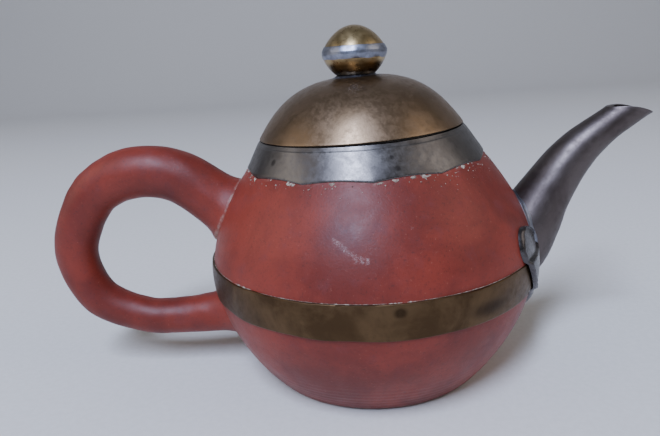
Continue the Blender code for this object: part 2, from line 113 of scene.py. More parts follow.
make_camera(Vector((-7.94, -181.84, 99.68)) * MM, math.radians(15.72), math.radians(-3.49),
            math.radians(-1.46), 31.91)

# %% [markdown]
# ## Surfaces from numpy grids
# Every piece is one grid of points, rows along the piece and columns round it. A grid can
# be closed round (a tube), closed along (a ring), or capped at both ends.

# %% Grid tools
def grid_faces(grid, ring=False):
    """Points, four-sided faces and end fans from rows x columns x 3 points.

    Neighbouring points make four-sided faces and the last column meets the first. The last
    row meets the first in a ring; otherwise each end is a fan to its row's middle. The
    signed volume tells which way the faces point, and they are turned outwards.
    """
    rows, columns = grid.shape[:2]
    points = grid.reshape(-1, 3)
    index = np.arange(rows * columns).reshape(rows, columns)
    index = np.hstack((index, index[:, :1]))
    fans = np.empty((0, 3), int)
    if ring:
        index = np.vstack((index, index[:1]))
    else:
        middles = np.stack((grid[0].mean(axis=0), grid[-1].mean(axis=0)))
        first, last = index[0], index[-1]
        start = np.full(columns, len(points))
        fans = np.vstack((np.stack((start, first[1:], first[:-1]), axis=-1),
                          np.stack((start + 1, last[:-1], last[1:]), axis=-1)))
        points = np.vstack((points, middles))
    quads = np.stack((index[:-1, :-1], index[:-1, 1:], index[1:, 1:], index[1:, :-1]),
                     axis=-1).reshape(-1, 4)
    triangles = np.vstack((quads[:, [0, 1, 2]], quads[:, [0, 2, 3]], fans))
    a, b, c = (points[triangles[:, corner]] for corner in range(3))
    if np.einsum("ij,ij->", a, np.cross(b, c)) < 0.0:
        quads, fans = quads[:, ::-1], fans[:, ::-1]
    return points, quads, fans


def add_solid(name, shape, body, finish, stands_for=(), sharp=50.0):
    """Put points and faces in the scene as a piece: its body and its finish.

    Edges that turn by more than sharp degrees are drawn sharp.
    """
    points, quads, fans = shape
    mesh = bpy.data.meshes.new(name)
    mesh.from_pydata(points.tolist(), [], quads.tolist() + fans.tolist())
    mesh.shade_smooth()
    mesh.set_sharp_from_angle(angle=math.radians(sharp))
    mesh.materials.append(finish)
    piece = bpy.data.objects.new(name, mesh)
    bpy.context.scene.collection.objects.link(piece)
    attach(piece, body)
    if stands_for:
        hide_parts(*stands_for)
    print(f"{name}: {len(mesh.polygons)} faces")
    return mesh


def add_piece(name, grid, body, finish, stands_for=(), ring=False, marks=None):
    """Piece from a grid, with its marks.

    Marks are numbers from 0 to 1 for each grid point, kept as attributes for the shader.
    """
    mesh = add_solid(name, grid_faces(grid, ring), body, finish, stands_for)
    for label, values in (marks or {}).items():
        whole = np.zeros(len(mesh.vertices), np.float32)
        whole[:values.size] = np.clip(values, 0.0, 1.0).ravel()
        mesh.attributes.new(label, "FLOAT", "POINT").data.foreach_set("value", whole)


def uneven(points, wavelength, seed):
    """Smooth field of about -1 to 1: the sum of nine sine waves in seeded directions."""
    chance = np.random.default_rng(seed)
    ways = chance.normal(size=(9, 3))
    ways *= (2 * np.pi / wavelength * chance.uniform(0.7, 1.4, 9)
             / np.linalg.norm(ways, axis=1))[:, None]
    phases = chance.uniform(0, 2 * np.pi, 9)
    return np.sin(points @ ways.T + phases).sum(axis=-1) / 3.5


def step_up(values, low, high):
    """0 below low, 1 above high, and a smooth S between them."""
    share = np.clip((values - low) / (high - low), 0.0, 1.0)
    return share * share * (3.0 - 2.0 * share)


def moved(grid, matrix):
    """The grid carried into another frame by a matrix."""
    turn = np.array(matrix.to_3x3())
    return grid @ turn.T + np.array(matrix.translation)


def around(radius, angles, height):
    """Points at the given radii, angles and heights about Z."""
    height = height + 0.0 * radius * angles
    return np.stack((radius * np.cos(angles), radius * np.sin(angles), height), axis=-1)


def turned(profile, columns):
    """Profile of (radius, height) points carried once round Z."""
    angles = np.linspace(0.0, 2 * np.pi, columns, endpoint=False)
    return around(profile[:, :1], angles, profile[:, 1:])


def rounded(points, size, steps=5, closed=True):
    """Polygon with each corner B cut back by size on both sides to A and C.

    The arc between them is (1-t)^2 A + 2t(1-t) B + t^2 C.
    """
    points = np.array(points, float)
    before, after = np.roll(points, 1, axis=0), np.roll(points, -1, axis=0)
    t = np.linspace(0.0, 1.0, steps)[None, :, None]

    def cut_back(other):
        way = other - points
        length = np.linalg.norm(way, axis=1, keepdims=True)
        return points + way * np.minimum(0.45, size / np.maximum(length, 1e-9))

    a, c = cut_back(before), cut_back(after)
    if not closed:
        a[0], c[0], a[-1], c[-1] = points[0], points[0], points[-1], points[-1]
    arcs = (1 - t) ** 2 * a[:, None] + 2 * t * (1 - t) * points[:, None] + t ** 2 * c[:, None]
    return arcs.reshape(-1, 2)


# %% [markdown]
# ## The wall of the pot
# The clay's outline is a parabola from the foot to the belly and a power curve from the
# belly to the shoulder. All that is fixed to the wall asks these functions where it is.

# %% The wall
def body_radius(height):
    """Radius of the clay: belly less a squared share below, less a power of it above."""
    below = np.clip(1.0 - height / BELLY_HEIGHT, 0.0, None)
    above = np.clip((height - BELLY_HEIGHT) / (SHOULDER_HEIGHT - BELLY_HEIGHT), 0.0, None)
    return (BELLY_RADIUS - (BELLY_RADIUS - BASE_RADIUS) * below ** 2
            - (BELLY_RADIUS - SHOULDER_RADIUS) * above ** SHOULDER_POWER)


def wall_lean(height):
    """Change of radius with height."""
    step = 0.05 * MM
    return (body_radius(height + step) - body_radius(height - step)) / (2 * step)


def shell_radius(height, offset):
    """Radius of a skin a given distance outside the clay."""
    return body_radius(height) + offset * np.hypot(1.0, wall_lean(height))


def wall_distance(points):
    """How far points are outside the clay, square to its wall."""
    height = points[..., 2]
    across = np.hypot(points[..., 0], points[..., 1])
    return (across - body_radius(height)) / np.hypot(1.0, wall_lean(height))


def wall_normal(points):
    """Direction square to the wall: outwards, tipped by the wall's lean."""
    across = np.hypot(points[..., 0], points[..., 1])
    normal = np.stack((points[..., 0] / across, points[..., 1] / across,
                       -wall_lean(points[..., 2])), axis=-1)
    return normal / np.linalg.norm(normal, axis=-1, keepdims=True)


def collar_edge(angles):
    """Height of the collar's lower edge: a lean and twelve arches that meet in points."""
    lean = SHOULDER_RADIUS * np.cos(angles) * math.tan(math.radians(1.4))
    return SHOULDER_HEIGHT + lean + POINT_DROP * np.abs(np.sin(COLLAR_POINTS * angles / 2))


def collar_grid(shares, depths, angles):
    """Rows on the collar: straight lines from its edge on the wall up to the round rim."""
    height = collar_edge(angles)
    foot = around(body_radius(height) + COLLAR_PROUD, angles, height)
    top = moved(around(MOUTH_RADIUS, angles, 0.0), MOUTH)
    slant = math.hypot(COLLAR_TAPER, COLLAR_HEIGHT) / COLLAR_HEIGHT
    outward = around(1.0, angles, 0.0)
    shares = np.asarray(shares)[:, None, None]
    depths = np.asarray(depths)[:, None, None]
    return foot + shares * (top - foot) - depths * slant * outward


def mark(points, azimuth, height, length, width, turn=0.0):
    """Soft oval spot on the wall, 1 in its middle: exp of minus the squared distance."""
    across = np.arctan2(points[..., 1], points[..., 0]) - math.radians(azimuth)
    across = (across + np.pi) % (2 * np.pi) - np.pi
    u = across * body_radius(height * MM) / MM
    v = points[..., 2] / MM - height
    tilt = math.radians(turn)
    along = u * math.cos(tilt) + v * math.sin(tilt)
    aside = v * math.cos(tilt) - u * math.sin(tilt)
    return np.exp(-(along / length) ** 2 - (aside / width) ** 2)


def spots(points, rows):
    """Sum of marks, one from each row of (strength, azimuth, height, length, width, turn)."""
    return sum(strength * mark(points, *row) for strength, *row in rows)


print("wall at the belt", round(float(body_radius(BELT_BOTTOM)) * 1000, 2), "mm")

# %% [markdown]
# ## Finishes
# Each finish starts from the real material. Colours are written as they look on a screen
# and made linear once. One function adds a node with its settings and its links.

# %% Shader tools
def linear(code):
    """Screen colour such as 8A6A3C as linear red, green, blue and full alpha."""
    parts = np.array([int(code[i:i + 2], 16) for i in (0, 2, 4)]) / 255.0
    lit = np.where(parts < 0.04045, parts / 12.92, ((parts + 0.055) / 1.055) ** 2.4)
    return (*lit.tolist(), 1.0)


def add_node(tree, kind, inputs=None, **settings):
    """Add a node, set its properties, and give each input a value or another node's output."""
    made = tree.nodes.new(kind)
    for name, value in settings.items():
        setattr(made, name, value)
    for name, value in (inputs or {}).items():
        if isinstance(value, bpy.types.NodeSocket):
            tree.links.new(value, made.inputs[name])
        else:
            made.inputs[name].default_value = value
    return made


def start_finish(name, metallic, roughness):
    """New material; returns it with its tree, its shader and the object's coordinates."""
    finish = bpy.data.materials.new(name)
    finish.use_nodes = True
    tree = finish.node_tree
    shader = tree.nodes["Principled BSDF"]
    shader.inputs["Metallic"].default_value = metallic
    shader.inputs["Roughness"].default_value = roughness
    place = add_node(tree, "ShaderNodeTexCoord").outputs["Object"]
    return finish, tree, shader, place


def noise(tree, place, size, detail=4.0, roughness=0.55, distortion=0.0):
    """Noise whose lumps are about size millimetres across."""
    return add_node(tree, "ShaderNodeTexNoise", {
        "Vector": place, "Scale": 1000.0 / size, "Detail": detail, "Roughness": roughness,
        "Distortion": distortion}).outputs["Fac"]


def ramp(tree, value, low, high, dark=0.0, light=1.0):
    """Value spread from dark at low to light at high, and held beyond them."""
    return add_node(tree, "ShaderNodeMapRange", {
        "Value": value, "From Min": low, "From Max": high, "To Min": dark, "To Max": light},
        interpolation_type="SMOOTHSTEP").outputs["Result"]


def blend(tree, share, first, second):
    """Mix of two colours by a share; a colour is a code or another node's output."""
    made = add_node(tree, "ShaderNodeMix", data_type="RGBA")
    for socket, value in ((made.inputs[0], share), (made.inputs[6], first),
                          (made.inputs[7], second)):
        if isinstance(value, bpy.types.NodeSocket):
            tree.links.new(value, socket)
        else:
            socket.default_value = linear(value) if isinstance(value, str) else value
    return made.outputs[2]


def times(tree, first, second):
    """Product of two values."""
    made = add_node(tree, "ShaderNodeMath", {0: first, 1: second}, operation="MULTIPLY")
    return made.outputs[0]


def worn(tree, label, breakup, low, high):
    """Where a mark is strong and the break-up noise is high: their product, spread."""
    share = add_node(tree, "ShaderNodeAttribute", attribute_name=label).outputs["Fac"]
    return ramp(tree, times(tree, share, breakup), low, high)


def bump(tree, height, distance, below=None):
    """Bump of a given depth in metres, over another normal if one is given."""
    inputs = {"Height": height, "Distance": distance, "Strength": 1.0}
    if below is not None:
        inputs["Normal"] = below
    return add_node(tree, "ShaderNodeBump", inputs).outputs["Normal"]


# %% [markdown]
# ### Red stoneware
# Unglazed red stoneware is full of fine grit, fired hard, and polished by years of hands.
# So the colour wanders slowly between brown and brick red, the grit gives tiny light and dark
# grains, and the gloss is broad and soft. Scuffs are dry and pale; stains are plum.

# %% Red stoneware
def make_stoneware(name):
    """Fired red clay: broad tone, 0.7 mm grit drawn coarse, pale scuffs, plum stains."""
    finish, tree, shader, place = start_finish(name, 0.0, 0.5)
    shader.inputs["Specular IOR Level"].default_value = 0.36
    broad = noise(tree, place, 22.0, 5.0, 0.6, 0.4)
    grit = noise(tree, place, 0.7, 3.0, 0.7)
    cloud = noise(tree, place, 5.0, 4.0, 0.65)
    tone = blend(tree, ramp(tree, broad, 0.34, 0.66), "66231B", "803024")
    tone = blend(tree, ramp(tree, cloud, 0.52, 0.75, 0.0, 0.3), tone, "653438")
    tone = blend(tree, ramp(tree, grit, 0.30, 0.46, 0.45, 0.0), tone, "3E1F1B")
    tone = blend(tree, ramp(tree, grit, 0.64, 0.74, 0.0, 0.35), tone, "A9705F")
    stain = worn(tree, "stain", noise(tree, place, 3.5, 5.0, 0.7), 0.15, 0.75)
    tone = blend(tree, times(tree, stain, 0.6), tone, "4C2A33")
    scuff = worn(tree, "scuff", noise(tree, place, 0.8, 5.0, 0.85, 1.5), 0.44, 0.72)
    tone = blend(tree, times(tree, scuff, 0.7), tone, "B9A4A2")
    dust = worn(tree, "dust", noise(tree, place, 2.2, 5.0, 0.75), 0.3, 0.6)
    tone = blend(tree, times(tree, dust, 0.6), tone, "A58A7C")
    tree.links.new(tone, shader.inputs["Base Color"])
    gloss = ramp(tree, cloud, 0.3, 0.7, 0.43, 0.52)
    gloss = add_node(tree, "ShaderNodeMath", {0: gloss, 1: times(tree, scuff, 0.3)},
                     operation="ADD").outputs[0]
    tree.links.new(gloss, shader.inputs["Roughness"])
    fine = bump(tree, grit, 0.05 * MM)
    tree.links.new(bump(tree, cloud, 0.06 * MM, fine), shader.inputs["Normal"])
    return finish


red_stoneware = make_stoneware("red_stoneware")

# %% [markdown]
# ### Old brass, pewter and solder
# The metals are one idea with other numbers: a clean colour, a tarnish that gathers in
# clouds and where hands don't reach, fine scratches, and a satin gloss. Marks on some pieces
# also darken them with painted shade and brighten them with painted highlights. Brass
# tarnishes brown, pewter dark grey, and the newer solder is bluish and brighter.

# %% Metals
def make_metal(name, clean, dull, tarnish_and_shade, cloud_size, gloss, scratch):
    """Metal with clouds of dull colour, flecks of tarnish and scratches 0.4 mm apart; marks add
    tarnish and painted shade, wear and painted highlights.
    """
    finish, tree, shader, place = start_finish(name, 1.0, gloss)
    clouds = noise(tree, place, cloud_size, 6.0, 0.62, 0.6)
    flecks = noise(tree, place, 1.6, 4.0, 0.7)
    grain = noise(tree, place, 0.5, 2.0, 0.6)
    tone = blend(tree, ramp(tree, clouds, 0.36, 0.64), dull, clean)
    tone = blend(tree, ramp(tree, flecks, 0.55, 0.80, 0.0, 0.22), tone, tarnish_and_shade)
    # Darkened to the tarnish colour by a mark that holds real tarnish and, on some pieces, painted
    # shade.
    tone = blend(tree, times(tree, worn(tree, "tarnish_and_shade", clouds, 0.1, 0.6), 0.85), tone, tarnish_and_shade)
    # Lightened to the clean colour by a mark that holds rubbed wear and, on most pieces, painted
    # highlights.
    wear_and_highlight = worn(tree, "wear_and_highlight", flecks, 0.12, 0.5)
    tone = blend(tree, times(tree, wear_and_highlight, 0.7), tone, clean)
    tree.links.new(tone, shader.inputs["Base Color"])
    drawn = add_node(tree, "ShaderNodeMapping", {
        "Vector": place, "Rotation": (0.5, 0.9, 0.3), "Scale": (1.0, 0.06, 1.0)})
    lines = noise(tree, drawn.outputs["Vector"], 0.4, 2.0, 0.6)
    rough = ramp(tree, flecks, 0.35, 0.7, gloss - 0.03, gloss + 0.09)
    rough = add_node(tree, "ShaderNodeMath", {0: rough, 1: ramp(
        tree, lines, 0.6, 0.75, 0.0, 0.15 * scratch)}, operation="ADD").outputs[0]
    tree.links.new(rough, shader.inputs["Roughness"])
    fine = bump(tree, grain, 0.012 * MM)
    fine = bump(tree, lines, 0.01 * MM * scratch, fine)
    tree.links.new(bump(tree, clouds, 0.012 * MM, fine), shader.inputs["Normal"])
    return finish


lid_brass = make_metal("satin_brass_lid", "8A745E", "7A654F", "44352A", 12.0, 0.36, 0.2)
knob_brass = make_metal("satin_brass_knob", "B39D75", "9A845E", "3A2C1E", 6.0, 0.30, 0.2)
belt_brass = make_metal("tarnished_brass_strip", "655039", "4C3A28", "2A1F16", 14.0, 0.42, 0.4)
old_pewter = make_metal("tarnished_pewter", "75716F", "605C5B", "3C3838", 13.0, 0.34, 0.35)
spout_pewter = make_metal("tarnished_pewter_spout", "665D5B", "574E4C", "352E2E", 12.0, 0.43, 0.3)
plate_metal = make_metal("polished_plate", "5C5859", "4A4647", "2E2B28", 8.0, 0.28, 0.2)
grey_solder = make_metal("soft_solder", "9A9EAE", "80838F", "494952", 3.0, 0.36, 0.3)

# %% [markdown]
# ### Lime cement
# The collar was bedded in a pale cement, which squeezed out in crumbs along its edge. It
# is chalky, so it has no gloss and a grain of about half a millimetre.

# %% Cement
def make_cement(name):
    """Chalky cement: pale with brown dirt in its 1.2 mm hollows."""
    finish, tree, shader, place = start_finish(name, 0.0, 0.95)
    lumps = noise(tree, place, 1.2, 5.0, 0.75)
    tone = blend(tree, ramp(tree, lumps, 0.35, 0.62), "5B4238", "B0A494")
    tree.links.new(tone, shader.inputs["Base Color"])
    tree.links.new(bump(tree, lumps, 0.2 * MM), shader.inputs["Normal"])
    return finish


pale_cement = make_cement("pale_cement")

# %% [markdown]
# ## The clay pot
# A pot is a wall with thickness, so one profile runs from the middle of the base, up the
# outside, over the neck and down the inside to the middle of the floor. The outside keeps
# faint turning lines near the foot, and the whole wall is a hair out of round.

# %% Clay body
COLUMNS = 360
angles = np.linspace(0.0, 2 * np.pi, COLUMNS, endpoint=False)


def level_rows(radii, heights):
    """Level rings, one for each radius and height."""
    return turned(np.stack((radii, heights), axis=-1), COLUMNS)


def make_clay_grid():
    """Rows up the outside, round the neck and down the inside, all in one grid."""
    base = level_rows(np.linspace(0.5 * MM, BASE_RADIUS - BASE_ROUNDING, 12), np.zeros(12))
    turn = np.linspace(0.0, np.pi / 2, 7)[1:]
    rise = BASE_ROUNDING * (1 - np.cos(turn))
    foot = level_rows(body_radius(rise) - BASE_ROUNDING * (1 - np.sin(turn)), rise)
    shares = np.linspace(0.0, 1.0, 170)[1:, None]
    heights = BASE_ROUNDING + shares * (collar_edge(angles) + COLLAR_PROUD - BASE_ROUNDING)
    outside = around(body_radius(heights), angles, heights)
    lines = np.sin(2 * np.pi * heights / (1.7 * MM)) * step_up(-heights, -16 * MM, -6 * MM)
    sway = uneven(outside, 45 * MM, 3) * 0.16 * MM + uneven(outside, 14 * MM, 4) * 0.035 * MM
    sway *= step_up(heights, 2 * MM, 12 * MM) * step_up(-heights, -64 * MM, -56 * MM)
    sway += lines * 0.035 * MM
    outside += wall_normal(outside) * sway[..., None]
    neck_depth = COLLAR_SHEET + 2 * AIR + 0.5 * MM
    neck = collar_grid((0.0, 0.2, 0.72), (neck_depth,) * 3, angles)
    bore = turned(np.array([(SEAT_RADIUS, -2.6 * MM), (SEAT_RADIUS, -8.0 * MM)]), COLUMNS)
    bore = moved(bore, MOUTH)
    down = np.linspace(SHOULDER_HEIGHT - 4 * MM, FLOOR + 5 * MM, 40)
    inside = level_rows(shell_radius(down, -WALL), down)
    corner = shell_radius(FLOOR + 5 * MM, -WALL)
    turn = np.linspace(0.0, np.pi / 2, 8)[1:]
    heel = level_rows(corner - 6 * MM * (1 - np.cos(turn)), FLOOR + 5 * MM * (1 - np.sin(turn)))
    floor = level_rows(np.linspace(corner - 7 * MM, 0.5 * MM, 12), np.full(12, FLOOR))
    return np.concatenate((base, foot, outside, neck, bore, inside, heel, floor))


clay_grid = make_clay_grid()
scuff = spots(clay_grid, (
    (1.0, -104.2, 54.9, 1.5, 1.3, -35), (1.0, -101.6, 53.6, 1.9, 1.3, -40),
    (1.0, -98.8, 52.2, 2.2, 1.4, -32), (1.0, -95.6, 50.6, 2.0, 1.3, -25),
    (1.0, -93.4, 50.4, 1.4, 1.3, 60), (0.8, -103.5, 57.5, 1.4, 0.9),
    (1.2, -108.4, 54.4, 1.3, 0.5, -50), (0.8, -97.8, 48.9, 0.9, 1.6, -10),
    (1.6, -78.6, 56.9, 0.6, 0.6), (0.8, -93.0, 24.5, 3.2, 0.7, -50),
    (0.9, 38.0, 52.0, 5.0, 0.8, 20), (0.9, 120.0, 22.0, 4.0, 0.8, 35)))
stain = spots(clay_grid, (
    (1.0, -101.5, 55.6, 9.0, 5.5, -10), (0.7, -88.5, 57.5, 3.0, 2.0),
    (0.8, 75.0, 48.0, 9.0, 6.0), (1.0, -110.3, 20.5, 4.2, 3.2), (-0.8, -110.3, 20.9, 2.6, 1.9)))
under_edge = np.exp(-((collar_edge(np.arctan2(clay_grid[..., 1], clay_grid[..., 0]))
                       - clay_grid[..., 2]) / (1.6 * MM)) ** 2)
over_belt = np.exp(-((clay_grid[..., 2] - BELT_BOTTOM - BELT_WIDTH) / (0.9 * MM)) ** 2)
dust = 0.7 * under_edge + 0.35 * over_belt
add_piece("clay_pot", clay_grid, "pot", red_stoneware, ("clay_body",),
          marks={"scuff": scuff, "stain": stain, "dust": dust})

# %% [markdown]
# ## Tubes along a line
# The handle and the spout are round sections carried along a smooth line. The line is a
# Catmull-Rom curve, which passes through all its points. Each column of the tube is then
# kept only between where it leaves the wall and where it ends.

# %% Tubes
def smooth_line(points, steps):
    """Catmull-Rom curve: each span is a cubic set by its two ends and their neighbours."""
    points = np.array(points, float)
    start, end = points[:-1, None], points[1:, None]
    before = np.vstack((2 * points[0] - points[1], points[:-2]))[:, None]
    after = np.vstack((points[2:], 2 * points[-1] - points[-2]))[:, None]
    t = (np.arange(steps) / steps)[None, :, None]
    rows = start + 0.5 * t * (end - before + t * (
        2 * before - 5 * start + 4 * end - after + t * (3 * (start - end) + after - before)))
    return np.vstack((rows.reshape(-1, points.shape[1]), points[-1]))


def tube(line, steps, columns, grow=0.0, side=1.0):
    """Tube along a line of (out from the belly, height, radius) in mm; also its outward ways."""
    rows = smooth_line(line, steps) * MM
    centre = np.stack((side * (BELLY_RADIUS + rows[:, 0]), np.zeros(len(rows)), rows[:, 1]),
                      axis=-1)
    ahead = np.gradient(centre, axis=0)
    ahead /= np.linalg.norm(ahead, axis=1, keepdims=True)
    across = np.stack((-ahead[:, 2], np.zeros(len(rows)), ahead[:, 0]), axis=-1)
    turn = np.linspace(0.0, 2 * np.pi, columns, endpoint=False)[None, :, None]
    ways = np.cos(turn) * across[:, None] + np.sin(turn) * np.array((0.0, 1.0, 0.0))
    return centre[:, None] + ways * (rows[:, 2] + grow)[:, None, None], ways


def crossing(values, level):
    """For each column, the row and fraction where values first rise past a level."""
    row = np.maximum(np.argmax(values > level, axis=0), 1)
    column = np.arange(values.shape[1])
    low, high = values[row - 1, column], values[row, column]
    return row - 1 + (level - low) / (high - low)


def between(grid, start, end, shares):
    """Columns kept from start to end, in rows; points between rows are straight averages."""
    at = start + (end - start) * np.asarray(shares)[:, None]
    low = np.clip(np.floor(at).astype(int), 0, len(grid) - 2)
    part = (at - low)[..., None]
    column = np.arange(grid.shape[1])[None, :]
    return grid[low, column] * (1 - part) + grid[low + 1, column] * part


# %% [markdown]
# ## The handle
# A rolled coil of the same clay, thicker at the top, bent to a ring and pressed on to the
# wall with wet clay. The wet clay leaves a small fillet, made here by pushing points out
# where they are close to the wall.

# %% Handle
HANDLE_LINE = (
    (-14.0, 44.5, 8.8), (-4.0, 55.0, 8.6), (9.8, 65.0, 8.3), (24.6, 66.6, 8.1),
    (38.0, 59.5, 7.3), (46.2, 42.0, 6.6), (41.0, 26.0, 6.2), (27.0, 18.4, 5.9),
    (13.0, 17.4, 6.1), (1.0, 18.1, 6.6), (-10.0, 18.8, 7.4))


def make_handle():
    """Tube from wall to wall, with a fillet of exp(-distance) and a rolled unevenness."""
    grid, ways = tube(HANDLE_LINE, 24, 80, side=-1.0)
    distance = wall_distance(grid)
    start = crossing(distance, -1.3 * MM)
    end = len(grid) - 1 - crossing(distance[::-1], -1.3 * MM)
    shares = np.linspace(0.0, 1.0, 240)
    shares = shares - 0.12 * np.sin(2 * np.pi * shares) / np.pi
    grid, ways = between(grid, start, end, shares), between(ways, start, end, shares)
    distance = np.clip(wall_distance(grid), 0.0, None)
    push = 1.5 * MM * np.exp(-(distance / (2.4 * MM)) ** 1.3)
    push += 0.18 * MM * uneven(grid, 22 * MM, 11) + 0.05 * MM * uneven(grid, 7 * MM, 12)
    return grid + ways * push[..., None], distance


handle_grid, handle_distance = make_handle()
joint_dust = np.exp(-(handle_distance / (1.0 * MM)) ** 2)
add_piece("clay_handle_ring", handle_grid, "pot", red_stoneware, ("clay_handle",),
          marks={"dust": joint_dust, "stain": 0.6 * step_up(uneven(handle_grid, 18 * MM, 8),
                                                            0.3, 1.0)})

# %% [markdown]
# ## The collar and its bed
# The collar is a cone of pewter sheet that hides the broken neck. Its lower edge is cut in
# twelve shallow arches, its top edge is filed to a narrow inward band, and it was pressed
# over the clay by hand, so it has soft dents.

# %% Collar
def make_collar_grid():
    """Rows up the outside, over the filed top and down the inside, closed in a ring."""
    up = np.concatenate((np.linspace(0.0, 0.86, 40), np.linspace(0.87, 1.0, 9)))
    filed = step_up(up, 0.86, 0.88) * 0.06 * MM + np.clip(up - 0.87, 0, None) * 0.8 * MM
    lip = 0.35 * MM * np.exp(-up / 0.02)
    outer = collar_grid(up, filed + lip, angles)
    dents = uneven(outer, 26 * MM, 21) * 0.08 * MM + uneven(outer, 9 * MM, 22) * 0.012 * MM
    outer += wall_normal(outer) * (dents * step_up(up, 0.02, 0.15)[:, None])[..., None]
    down = np.linspace(1.0, 0.0, 6)
    inner = collar_grid(down, np.full(6, COLLAR_SHEET), angles)
    grid = np.concatenate((outer, inner))
    dip = 0.38 * MM * np.cos((angles - math.radians(-72.0)) / 2) ** 6
    top = np.concatenate((step_up(up, 0.5, 1.0), step_up(down, 0.5, 1.0)))
    grid[..., 2] -= dip * top[:, None]
    return grid, np.concatenate((up, down))


collar, collar_share = make_collar_grid()
edge_dirt = 0.15 * np.exp(-collar_share / 0.06)[:, None] + 0 * angles
# Painted highlight along the filed top band, stronger on the side the light falls on.
painted_top_highlight = (np.exp(-((collar_share - 0.86) / 0.018) ** 2)[:, None]
              * (0.7 + 0.3 * np.cos(angles + 1.9)))
pits = 1.5 * spots(collar, ((1.0, -79.4, 70.3, 0.9, 0.7), (1.0, -81.3, 73.1, 0.6, 0.5),
                            (1.0, -140.0, 71.5, 0.8, 0.9), (1.0, 60.0, 72.0, 0.9, 0.7)))
scratches = 1.3 * spots(collar, ((1.0, -104.0, 73.1, 2.9, 0.35, -14),
                                 (1.0, 25.0, 71.0, 3.5, 0.3, 30),
                                 (1.0, 150.0, 72.0, 3.0, 0.3, -25)))
add_piece("pewter_collar", collar, "pot", old_pewter, ("mouth_collar",), ring=True,
          marks={"tarnish_and_shade": edge_dirt + pits, "wear_and_highlight": painted_top_highlight + scratches})

SEAT_OUTER = 29.7 * MM
seat = rounded([(SEAT_OUTER, -SEAT_SHEET), (SEAT_OUTER, 0.0), (SEAT_RADIUS, 0.0),
                (SEAT_RADIUS, -SEAT_SHEET)], 0.3 * MM)
add_piece("seat_ring", moved(turned(seat, 180), MOUTH), "pot", old_pewter,
          ("mouth_seat_ring",), ring=True)

# %% [markdown]
# The cement shows as a broken, crumbly line along the collar's edge and thinner lines where
# the handle and the strip meet the clay. A crust is a bead carried along a line: where the
# noise along the line is low its radius shrinks, and it sinks out of sight.

# %% Cement crust
def crust(name, centres, radii, seed, squash=0.6):
    """Lumpy bead along closed line of points on the wall, flattened square to the wall."""
    out = wall_normal(centres)
    ahead = np.roll(centres, -1, axis=0) - np.roll(centres, 1, axis=0)
    ahead /= np.linalg.norm(ahead, axis=1, keepdims=True)
    aside = np.cross(ahead, out)
    turn = np.linspace(0.0, 2 * np.pi, 12, endpoint=False)[None, :, None]
    section = np.cos(turn) * aside[:, None] + squash * np.sin(turn) * out[:, None]
    grid = centres[:, None] + section * radii[:, None, None]
    lumps = 1.0 + 0.45 * uneven(grid, 0.9 * MM, seed)
    grid = centres[:, None] + section * (radii[:, None] * np.clip(lumps, 0.3, 2.0))[..., None]
    add_piece(name, grid, "pot", pale_cement, ring=True)


def ring_on_wall(heights, turns, offset):
    """Points on a skin outside the clay at given heights and angles."""
    return around(shell_radius(heights, offset), turns, heights)


fine_turns = np.linspace(0.0, 2 * np.pi, 2400, endpoint=False)
edge_points = ring_on_wall(collar_edge(fine_turns) - 0.35 * MM, fine_turns, -0.02 * MM)
patches = uneven(edge_points, 9 * MM, 31) + 0.9 * uneven(edge_points, 2.4 * MM, 32)
amount = step_up(patches, 0.1, 1.6)
edge_radii = (0.08 + 0.42 * amount) * MM
edge_points = ring_on_wall(collar_edge(fine_turns) - 0.15 * MM - 0.75 * edge_radii, fine_turns,
                           -0.12 * MM)
crust("cement_edge", edge_points, edge_radii, 33)


def make_crumbs(count, seed):
    """Small lumps strewn under the collar's edge: balls of 6 x 8 points, each misshapen."""
    chance = np.random.default_rng(seed)
    turns = chance.uniform(0, 2 * np.pi, count)
    fall = chance.exponential(1.1, count) * MM + 0.7 * MM
    centres = ring_on_wall(collar_edge(turns) - fall, turns, 0.0)
    sizes = chance.uniform(0.10, 0.30, count) * MM * np.exp(-fall / (4 * MM))
    lat = np.linspace(0.15, np.pi - 0.15, 6)[:, None]
    lon = np.linspace(0, 2 * np.pi, 8, endpoint=False)[None]
    ball = np.stack((np.sin(lat) * np.cos(lon), np.sin(lat) * np.sin(lon),
                     np.cos(lat) + 0 * lon), axis=-1)
    stretch = chance.uniform(0.6, 1.5, (count, 1, 1, 3))
    return centres[:, None, None] + ball * stretch * sizes[:, None, None, None]


def joined(shapes):
    """Several shapes as one, each one's point numbers counted on from those before it."""
    points, quads, fans = zip(*shapes)
    starts = np.cumsum([0] + [len(part) for part in points[:-1]])
    return (np.vstack(points), np.vstack([part + start for part, start in zip(quads, starts)]),
            np.vstack([part + start for part, start in zip(fans, starts)]))


add_solid("cement_crumbs", joined([grid_faces(ball) for ball in make_crumbs(220, 35)]),
          "pot", pale_cement, sharp=180.0)

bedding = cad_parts["collar_bedding"].data.materials
bedding.clear()
bedding.append(pale_cement)

# %% [markdown]
# ## The brass strip
# A flat strip of brass is wrapped round the belly and its ends are tucked under the plate
# at the spout. Its long edges were cut with shears, so they wander a little, and the strip
# lies over the clay with a small step. Its edges and a broad patch on its front carry a
# painted highlight.

